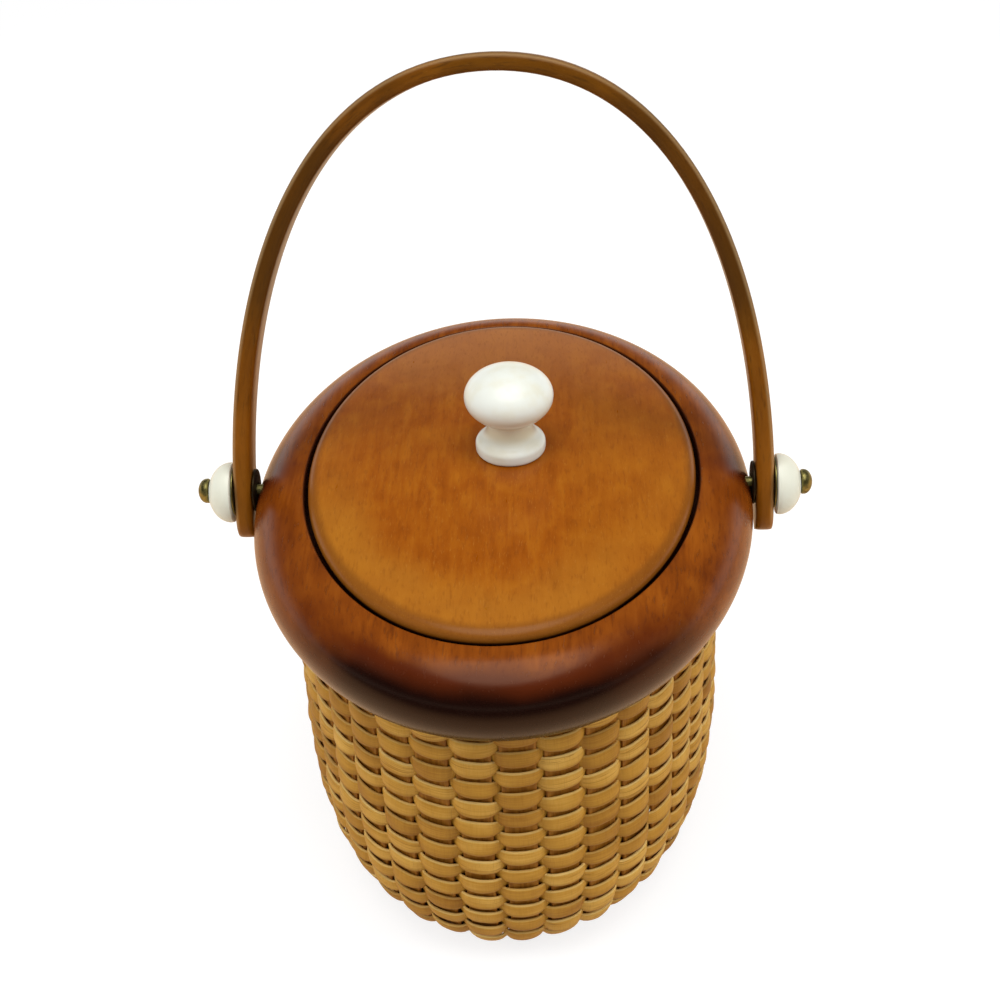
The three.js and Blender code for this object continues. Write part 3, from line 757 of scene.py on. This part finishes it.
knobSizes = {"offset": 3.6, "hole": 2.5, "grip": 15.0, "spare": 2, "screw": 2.2, "screwTip": 1,
             "head": 5.0, "headHeight": 3.0, "headFace": 0.75, "headSlope": 1.6,
             "faceRound": 0.8, "slopeRound": 0.6, "headRound": 0.2, "tipRound": 0.6,
             "foot": [(12.3, 0.0), (12.7, 0.7), (12.8, 2.2), (12.6, 3.8), (11.6, 4.9), (9.9, 6.0),
                      (8.8, 7.6), (8.4, 9.6), (8.6, 11.5), (9.5, 13.4)],
             "ball": (16.1, 10.4, 22.5), "neckTurn": -46, "crownStop": 0.03, "ballSteps": 40, "footSteps": 5,
             "segments": 112, "screwSegments": 48, "sharp": 50}
lidSizes = {"gap": 1.4, "clear": 0.3, "edge": 9.4, "round": 3.4, "under": 1.0, "rise": 17.4, "plugGap": 0.5,
            "plugDepth": 6.0, "plugBevel": 1, "seat": 16.8, "hole": 2.5, "sink": 4.0, "sinkRadius": 5.8,
            "roundSteps": 16, "domeSteps": 26, "segments": 208}


def lidHeights():
    c, s = collarSizes, lidSizes
    bottom = c["height"] - c["ledge"] + s["clear"]
    radius = c["radius"] - c["rim"] - s["gap"]
    edge = Vector((radius - s["round"], bottom + s["edge"]))
    crown = bottom + s["rise"]
    over = crown - edge.y - s["round"]
    dome = over + s["round"] + (edge.x ** 2 - over ** 2) / (2 * over)
    centre = crown - dome
    seat = centre + math.sqrt(dome ** 2 - s["seat"] ** 2)
    return bottom, edge, dome, centre, seat


def lid():
    s, x = lidSizes, knobSizes["offset"]
    bottom, edge, dome, centre, seat = lidHeights()
    breakAngle = math.atan2(edge.y - centre, edge.x)
    seatAngle = math.acos(s["seat"] / dome)
    plugRadius = collarSizes["radius"] - collarSizes["rim"] - collarSizes["ledgeWidth"] - s["plugGap"]
    plugBottom = bottom - s["plugDepth"]
    sinkTop = plugBottom + s["sink"]
    profile = [(s["hole"], sinkTop, x), (s["sinkRadius"], sinkTop, x), (s["sinkRadius"], plugBottom, x),
               (plugRadius - s["plugBevel"], plugBottom), (plugRadius, plugBottom + s["plugBevel"]),
               (plugRadius, bottom), (edge.x + s["round"] * math.cos(s["under"]), bottom)]
    profile += arcLine(edge.x, edge.y, s["round"], s["round"], -s["under"], breakAngle, s["roundSteps"])
    profile += arcLine(0, centre, dome, dome, breakAngle, seatAngle, s["domeSteps"])[1:]
    profile += [(s["hole"], seat, x)]
    verts, faces = ringMesh(profile, s["segments"])
    showMesh("lid_dome", verts, faces, lidWood, "lid", ["lid"])


base()
collar()
lid()
print("base, collar and lid done")


def knob():
    s = knobSizes
    bottom, *_, lidSeat = lidHeights()
    seat = lidSeat + lidSizes["clear"]
    turn = Matrix.Translation((s["offset"] * mm, 0, 0))
    wide, high, level = s["ball"]
    ball = arcLine(0, level, wide, high, math.radians(s["neckTurn"]), math.pi / 2 - s["crownStop"],
                   s["ballSteps"])
    side = smoothLine(s["foot"] + ball[:1], s["footSteps"])[:-1] + ball + [(0, level + high)]
    boreTop = s["grip"] + s["spare"]
    profile = [(0, boreTop), (s["hole"], boreTop), (s["hole"], 0)] + side
    verts, faces = turnedMesh([(r, z + seat) for r, z in profile], s["segments"], turn)
    showMesh("knob_turned", verts, faces, whiteKnob, "lid", ["knob"], s["sharp"])
    screwSeat = bottom - lidSizes["plugDepth"] + lidSizes["sink"] - lidSizes["clear"]
    low, tip = screwSeat - s["headHeight"], seat + s["grip"]
    corners = [(0, low, 0), (s["head"] * s["headFace"], low, s["faceRound"]),
               (s["head"], low + s["headSlope"], s["slopeRound"]), (s["head"], screwSeat, s["headRound"]),
               (s["screw"], screwSeat, 0), (s["screw"], tip - s["screwTip"], s["tipRound"]), (0, tip, 0)]
    verts, faces = turnedMesh(softened(corners), s["screwSegments"], turn)
    showMesh("knob_screw_turned", verts, faces, brass, "lid", ["knob_screw"])


knob()
print("knob done")

handleSizes = {"inside": 93.0, "thickness": 6.4, "grip": 6.4, "rise": 156.2, "legPull": 84.2,
               "gripPull": 66.8, "legLean": 3.0, "straight": 8.3, "ear": 18.0, "width": 16.8, "round": 2.2,
               "lean": 20.0, "height": 143.7, "earSteps": 14, "earTip": 0.02, "legSpots": (-4.0, 2.0),
               "bendSteps": 44, "roundShare": 0.9, "roundTurns": (0, 30, 60, 90), "sharp": 45}


def handleBend(t, x, y, pull, reach):
    s = handleSizes
    a, b = Vector((x, s["straight"])), Vector((x - s["legLean"], pull))
    return cubic(a, b, Vector((reach, y)), Vector((0, y)), t)


# Outside, inside and share of the width along the strip, from the right ear over to the left one.
def handleLine(half):
    s = handleSizes
    inside, outside = s["inside"], s["inside"] + s["thickness"]
    inner = s["rise"] - s["grip"]
    right = []
    for i in range(s["earSteps"] + 1):
        turn = math.pi / 2 * i / s["earSteps"]
        z = half * (1 - math.cos(turn)) - s["ear"]
        right.append((Vector((outside, z)), Vector((inside, z)), max(math.sin(turn), s["earTip"])))
    for z in s["legSpots"]:
        right.append((Vector((outside, z)), Vector((inside, z)), 1.0))
    for i in range(s["bendSteps"] + 1):
        t = i / s["bendSteps"]
        outer = handleBend(t, outside, s["rise"], s["legPull"], s["gripPull"])
        legPull, gripPull = s["legPull"] * inner / s["rise"], s["gripPull"] * inside / outside
        right.append((outer, handleBend(t, inside, inner, legPull, gripPull), 1.0))
    left = [(Vector((-a.x, a.y)), Vector((-b.x, b.y)), w) for a, b, w in reversed(right[:-1])]
    return right + left


# Round corners of the strip's section, from half its width and half its thickness.
def handleSection(wide, thick):
    s = handleSizes
    k = min(s["round"], wide * s["roundShare"])
    section = []
    for x, y, start in ((1, 1, 0), (-1, 1, 90), (-1, -1, 180), (1, -1, 270)):
        for part in s["roundTurns"]:
            a = math.radians(start + part)
            section.append((x * (wide - k) + k * math.cos(a),
                            y * (thick - s["round"]) + s["round"] * math.sin(a)))
    return section


def handle():
    s = handleSizes
    half = s["width"] / 2
    turn = Matrix.Rotation(math.radians(-s["lean"]), 3, "X")
    verts, strip = [], []
    run, last = 0.0, None
    rings = handleLine(half)
    for outer, inner, wide in rings:
        middle, way = (outer + inner) / 2, (outer - inner) / 2
        thick = way.length
        way.normalize()
        run += (middle - last).length if last else 0.0
        last = middle
        section = handleSection(half * wide, thick)
        for y, d in section:
            spot = middle + way * d
            verts.append((turn @ Vector((spot.x, y, spot.y)) + Vector((0, 0, s["height"]))) * mm)
            strip.append((run * mm, y * mm, d * mm))
    faces = tubeFaces(len(rings), len(section))
    showMesh("handle_strip", verts, faces, handleWood, "handle", ["handle"], s["sharp"],
             ("strip", strip))


handle()

pinSizes = {"hole": 2.5, "pin": 2.2, "seat": 91.4, "deep": 12.0, "tip": 0.6, "clear": 0.3,
            "spacer": 8.0, "spacerRound": 0.5, "washer": 9.4, "washerThickness": 0.5, "washerRound": 0.15,
            "boss": 11.3, "bossRim": 1.2, "bossHeight": 9.0, "bossHole": 3.4, "bossFoot": 0.7,
            "bossBevel": (0.2, 0.3), "bossSteps": 16, "drop": 0.9, "head": 4.6, "headHeight": 4.2,
            "headRim": 0.25, "headBevel": 0.4, "headStop": 0.02, "headSteps": 12, "segments": 72}


def plainRing(hole, radius, low, high, rounding):
    return softened([(hole, low, 0), (radius, low, rounding), (radius, high, rounding), (hole, high, 0)])


# Profiles along the right pin, from the collar outwards.
def pinProfiles():
    s = pinSizes
    clear = s["clear"]
    washerAt = handleSizes["inside"] + handleSizes["thickness"] + clear
    bossAt = washerAt + s["washerThickness"] + clear
    headAt = bossAt + s["bossHeight"] + clear
    spacer = plainRing(s["hole"], s["spacer"], s["seat"] + clear, handleSizes["inside"] - clear,
                       s["spacerRound"])
    washer = plainRing(s["hole"], s["washer"], washerAt, washerAt + s["washerThickness"], s["washerRound"])
    topAngle = math.acos(s["head"] / s["boss"])
    dome = (s["bossHeight"] - s["bossRim"]) / math.sin(topAngle)
    inset, lift = s["bossBevel"]
    boss = [(s["bossHole"], bossAt), (s["boss"] - s["bossFoot"], bossAt), (s["boss"] - inset, bossAt + lift)]
    boss += arcLine(0, bossAt + s["bossRim"], s["boss"], dome, 0, topAngle, s["bossSteps"])
    boss += [(s["bossHole"], bossAt + s["bossHeight"])]
    end, rim = s["seat"] - s["deep"], s["headHeight"] * s["headRim"]
    pin = [(0, end), (s["pin"], end + s["tip"]), (s["pin"], headAt), (s["head"] - s["headBevel"], headAt),
           (s["head"], headAt + s["headBevel"])]
    pin += arcLine(0, headAt + rim, s["head"], s["headHeight"] - rim, 0, math.pi / 2 - s["headStop"],
                   s["headSteps"])
    pin += [(0, headAt + s["headHeight"])]
    return spacer, washer, boss, pin


def pinPieces():
    spacer, washer, boss, pin = pinProfiles()
    # The spacers take the brass that is darkened with painted shade.
    kinds = (("spacer", spacer, dullShadedBrass, "brass", 0), ("boss_washer", washer, brass, "brass", 0),
             ("boss", boss, whiteBoss, "white_boss", pinSizes["drop"]),
             ("pivot_pin", pin, brass, "brass", 0))
    for side, way in (("right", 1), ("left", -1)):
        lying = Matrix.Rotation(way * math.pi / 2, 4, "Y")
        for name, profile, finish, slot, drop in kinds:
            turn = Matrix.Translation((0, 0, (handleSizes["height"] - drop) * mm)) @ lying
            verts, faces = turnedMesh(profile, pinSizes["segments"], turn)
            showMesh(f"{name}_{side}_turned", verts, faces, finish, "basket", [f"{name}_{side}"])


pinPieces()
print("handle and pins done")

view = {"place": (28.51, -517.96, 503.77), "tilt": 35.229, "yaw": 3.296, "roll": -2.792, "lens": 61.2,
        "sensor": 36, "clip": 50}


def camera():
    tilt, yaw, roll = (math.radians(view[k]) for k in ("tilt", "yaw", "roll"))
    ahead = Vector((-math.cos(tilt) * math.sin(yaw), math.cos(tilt) * math.cos(yaw), -math.sin(tilt)))
    right = Vector((math.cos(yaw), math.sin(yaw), 0))
    up = right.cross(ahead)
    right, up = right * math.cos(roll) + up * math.sin(roll), up * math.cos(roll) - right * math.sin(roll)
    data = bpy.data.cameras.new("camera")
    data.lens, data.sensor_width, data.clip_end = view["lens"], view["sensor"], view["clip"]
    made = bpy.data.objects.new("camera", data)
    scene.collection.objects.link(made)
    turn = Matrix((right, up, -ahead)).transposed().to_4x4()
    made.matrix_world = Matrix.Translation(Vector(view["place"]) * mm) @ turn
    scene.camera = made


studio = {"ambient": 0.40, "dim": 0.06, "dimHeights": (-0.08, 0.16), "back": (-0.2, 0.4), "backRise": 0.22,
          "floorHalf": 6, "floorPlain": 0.80, "floorColour": 0.34, "floorGlow": 0.77,
          "floorTint": (1.0, 0.66, 0.40), "whiteFloor": (0.55, 1.1), "nearFloor": (-0.60, -0.20),
          "aim": (0, 0, 0.12), "mirroredLamp": "top",
          "lamps": [("top", (0.05, -0.25, 1.75), 1.5, 17.0), ("left", (-1.32, -0.48, 0.95), 0.8, 8.4),
                    ("right", (1.36, -0.38, 0.90), 0.8, 8.8)]}
pureWhite = (1, 1, 1)


# A surface that takes shadows and glows a little.
def litFloor(made, tint):
    shadow = made.node("BsdfDiffuse", {}, {"Color": [v * studio["floorColour"] for v in tint]})
    glow = made.node("Emission", {}, {"Color": tint, "Strength": studio["floorGlow"]})
    return made.node("AddShader", {}, {0: shadow, 1: glow})


# The floor is pale round the basket and white further out. Mirrored rays see it in a warm tint, and dim
# far in front; rays that only carry light see it plain.
def stage():
    half = studio["floorHalf"]
    corners = [(-half, -half, 0), (half, -half, 0), (half, half, 0), (-half, half, 0)]
    mesh = bpy.data.meshes.new("floor")
    mesh.from_pydata(corners, [], [(0, 1, 2, 3)])
    floor = bpy.data.objects.new("floor", mesh)
    scene.collection.objects.link(floor)
    made = Finish("pale_floor")
    made.tree.nodes.remove(made.shader)
    plain, away = (made.node("BsdfDiffuse", {}, {"Color": (studio[k],) * 3}) for k in ("floorPlain", "dim"))
    bare = made.node("Emission", {}, {"Color": pureWhite, "Strength": 1.0})
    direct, mirrored = made.seenRays()
    x, y = made.parts(made.place(), "XY")
    near = made.step(y, *studio["nearFloor"])
    mirror = made.blend(near, away, litFloor(made, studio["floorTint"]))
    further = made.step(x * x + y * y, *(v * v for v in studio["whiteFloor"]))
    seen = made.blend(further, litFloor(made, pureWhite), bare)
    shown = made.blend(direct, mirror, seen)
    lit = made.blend(direct.atLeast(mirrored), plain, shown)
    plug(made.tree, made.tree.nodes["Material Output"].inputs["Surface"], lit)
    mesh.materials.append(made.material)


# The studio in reflections: white at the horizon, further up behind the basket, and dim over that.
def studioGlow(made):
    y, z = made.parts(made.node("TexCoord", out="Generated"), "YZ")
    behind = made.step(y, *studio["back"], 0.0, studio["backRise"])
    return made.step(z - behind, *studio["dimHeights"], 1.0, studio["dim"])


def surroundings():
    world = bpy.data.worlds.new("studio")
    scene.world = world
    world.use_nodes = True
    made = Nodes(world.node_tree)
    ground = made.tree.nodes["Background"]
    direct, mirrored = made.seenRays()
    strength = direct + mirrored * studioGlow(made) + (1 - direct.atLeast(mirrored)) * studio["ambient"]
    plug(made.tree, ground.inputs["Color"], pureWhite)
    plug(made.tree, ground.inputs["Strength"], strength)


# Only one of the lamps shows in reflections.
def lamps():
    for name, place, size, power in studio["lamps"]:
        data = bpy.data.lights.new(name, "AREA")
        data.shape, data.size, data.energy = "DISK", size, power
        lamp = bpy.data.objects.new(name, data)
        scene.collection.objects.link(lamp)
        lamp.visible_glossy = name == studio["mirroredLamp"]
        lamp.location = place
        lamp.rotation_euler = (Vector(studio["aim"]) - Vector(place)).to_track_quat("-Z", "Y").to_euler()


camera()
stage()
surroundings()
lamps()
print("camera and studio done")
